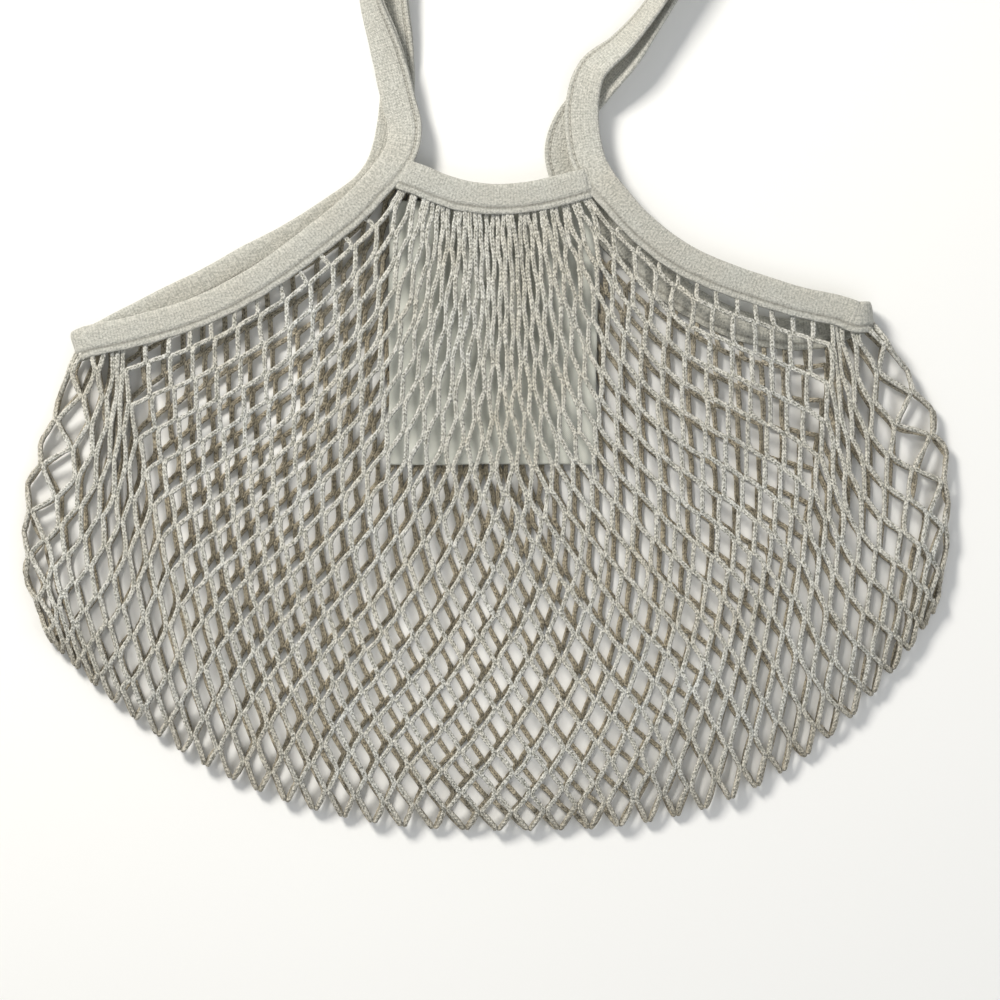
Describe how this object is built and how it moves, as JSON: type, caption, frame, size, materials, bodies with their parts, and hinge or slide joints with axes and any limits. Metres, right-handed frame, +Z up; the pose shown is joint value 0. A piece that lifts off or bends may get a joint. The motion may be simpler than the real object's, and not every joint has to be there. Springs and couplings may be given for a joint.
{
  "type": "string shopping bag",
  "caption": "Cotton net tote lying flat, with a knitted tape binding its mouth, two long shoulder handles and a bare cloth label inside.",
  "frame": {"origin": "on the floor under the middle of the back mouth band, with the bag lying flat on its back", "axes": "+Z up off the floor, through the back layer and then the front layer; +Y from the mouth towards the handles; +X to the right seen from above"},
  "size_m": [0.4197, 0.5261, 0.018],
  "materials": {
    "net_cord": "undyed cotton cord, chain knitted, matt and slightly hairy",
    "knit_tape": "undyed cotton knitted tape with fine ribs, folded and topstitched, matt",
    "label_cloth": "undyed plain-woven cotton, bare, matt"
  },
  "bodies": {
    "root": {"net_body": "net_cord", "handle_tape": "knit_tape", "front_rim_band": "knit_tape", "back_rim_band": "knit_tape", "inner_label": "label_cloth"}
  },
  "joints": []
}
